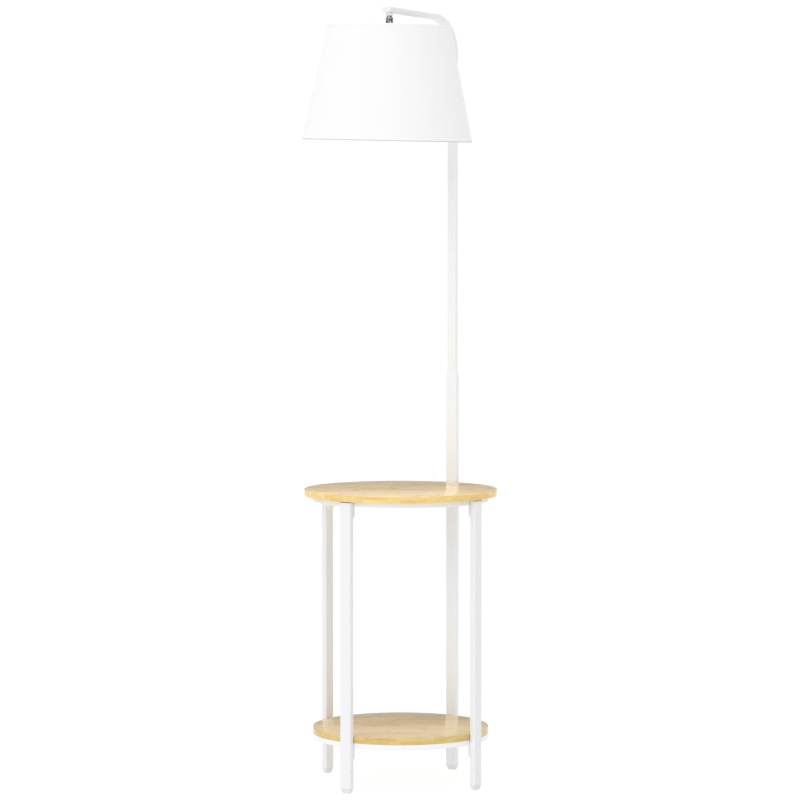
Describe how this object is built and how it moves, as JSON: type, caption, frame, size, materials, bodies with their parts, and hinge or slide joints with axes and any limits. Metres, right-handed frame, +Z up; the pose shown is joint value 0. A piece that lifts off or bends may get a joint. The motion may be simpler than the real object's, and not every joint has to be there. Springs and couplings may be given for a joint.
{
  "type": "floor lamp with table",
  "caption": "Floor lamp on a round two-tier wooden table with flat tube legs; the rear leg rises as a pole into a bent arm that carries a tilting tapered fabric shade.",
  "frame": {"origin": "on the floor, below the middle of the lamp's outline from above", "axes": "+Z up; the pole and the arm stand in the YZ plane, and the arm reaches from the pole towards -Y"},
  "size_m": [0.38, 0.3935, 1.5278],
  "materials": {
    "bamboo": "gloss",
    "white_paint": "satin",
    "foot_plastic": "matte",
    "black_plastic": "matte",
    "white_plastic": "satin",
    "ivory_plastic": "matte",
    "zinc": "satin",
    "chrome": "polished",
    "brass": "satin",
    "shade_fabric": "matte",
    "liner": "matte",
    "bulb_metal": "satin",
    "bulb_diffuser": "satin",
    "flex": "matte"
  },
  "bodies": {
    "stand": {"tabletop": "bamboo", "lower_shelf": "bamboo", "hoop_upper": "white_paint", "hoop_lower": "white_paint", "leg_front": "white_paint", "leg_left": "white_paint", "leg_right": "white_paint", "pole_lower": "white_paint", "foot_front": "foot_plastic", "foot_left": "foot_plastic", "foot_right": "foot_plastic", "foot_back": "foot_plastic", "leg_caps": "black_plastic", "leg_bolts": "white_paint", "leg_inserts": "zinc", "board_screws": "zinc", "pole_connector": "white_paint", "connector_screws": "zinc", "arm_tube": "white_paint", "arm_end_cap": "white_plastic", "arm_boss": "white_paint", "arm_nipple": "zinc", "arm_nut": "zinc", "swivel_upper": "chrome", "swivel_screw": "chrome", "swivel_nut": "chrome", "cord_grommet": "foot_plastic", "pole_flex": "flex"},
    "head": {"swivel_lower": "chrome", "holder_nipple": "zinc", "holder_cap": "white_plastic", "holder_body": "white_plastic", "holder_insulator": "ivory_plastic", "holder_screw_shell": "brass", "holder_contact": "brass", "holder_terminals": "brass", "head_flex": "flex"},
    "shade": {"shade_ring": "white_plastic", "shade_top_frame": "white_paint", "shade_plate": "white_paint", "shade_bottom_ring": "white_paint", "shade_liner": "liner", "shade_fabric": "shade_fabric"},
    "bulb": {"bulb_cap": "bulb_metal", "bulb_contact": "brass", "bulb_housing": "white_plastic", "bulb_globe": "bulb_diffuser"}
  },
  "joints": [
    {"name": "shade_tilt", "type": "hinge", "parent": "stand", "child": "head", "pos_m": [0, -0.0305, 1.49504], "axis": [0, 1, 0], "range_deg": [-45, 45]},
    {"name": "shade_release", "type": "slide", "parent": "head", "child": "shade", "axis": [-0.0244, 0, -0.9997], "range_m": [0, 0.023]},
    {"name": "bulb_release", "type": "slide", "parent": "head", "child": "bulb", "axis": [-0.0244, 0, -0.9997], "range_m": [0, 0.032]}
  ]
}
